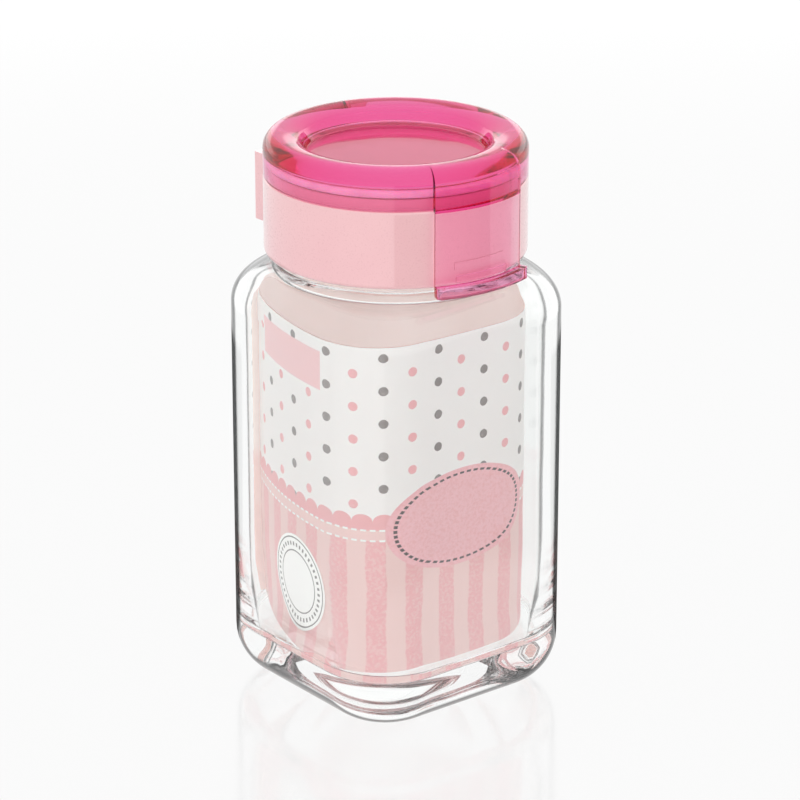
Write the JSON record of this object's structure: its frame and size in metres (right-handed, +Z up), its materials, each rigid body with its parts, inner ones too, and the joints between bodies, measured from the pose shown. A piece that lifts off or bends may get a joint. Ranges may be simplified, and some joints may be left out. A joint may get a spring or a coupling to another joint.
{
  "type": "spice jar",
  "caption": "Square clear glass spice jar with a screw collar, sifter insert and translucent flip lid hinged at the back, with a printed card sleeve inside.",
  "frame": {"origin": "centre of the jar's base, on the surface that it stands on", "axes": "+Z up along the neck axis, -Y towards the lid's finger tab, +Y towards the hinge"},
  "size_m": [0.065, 0.0698, 0.1367],
  "materials": {
    "clear_glass": "clear polished soda-lime glass",
    "liner": "soft white liner foam",
    "pale_pink_plastic": "smooth satin moulded plastic",
    "sifter_plastic": "smooth moulded plastic",
    "translucent_pink_plastic": "polished translucent plastic",
    "silicone": "translucent white silicone",
    "steel": "plain drawn wire",
    "printed_card": "matt printed card",
    "sticker_paper": "matt white paper"
  },
  "bodies": {
    "jar": {"glass_jar": "clear_glass", "paper_insert": "printed_card", "round_sticker": "sticker_paper"},
    "liner": {"rim_gasket": "liner"},
    "collar": {"screw_collar": "pale_pink_plastic", "sifter_insert": "sifter_plastic", "hinge_pin": "steel"},
    "lid": {"flip_lid": "translucent_pink_plastic", "lid_seal": "silicone"}
  },
  "joints": [
    {"name": "cap_lift", "type": "slide", "parent": "jar", "child": "liner", "axis": [0, 0, 1], "range_m": [0, 0.00494]},
    {"name": "cap_turn", "type": "hinge", "parent": "liner", "child": "collar", "pos_m": [0, 0, 0.1229], "axis": [0, 0, 1], "range_deg": [0, 420]},
    {"name": "lid_flip", "type": "hinge", "parent": "collar", "child": "lid", "pos_m": [0, 0.033, 0.1235], "axis": [-1, 0, 0], "range_deg": [0, 140]}
  ],
  "couplings": [
    {"joint": "cap_lift", "follows": "cap_turn", "m_per_rad": 0.00067323}
  ]
}
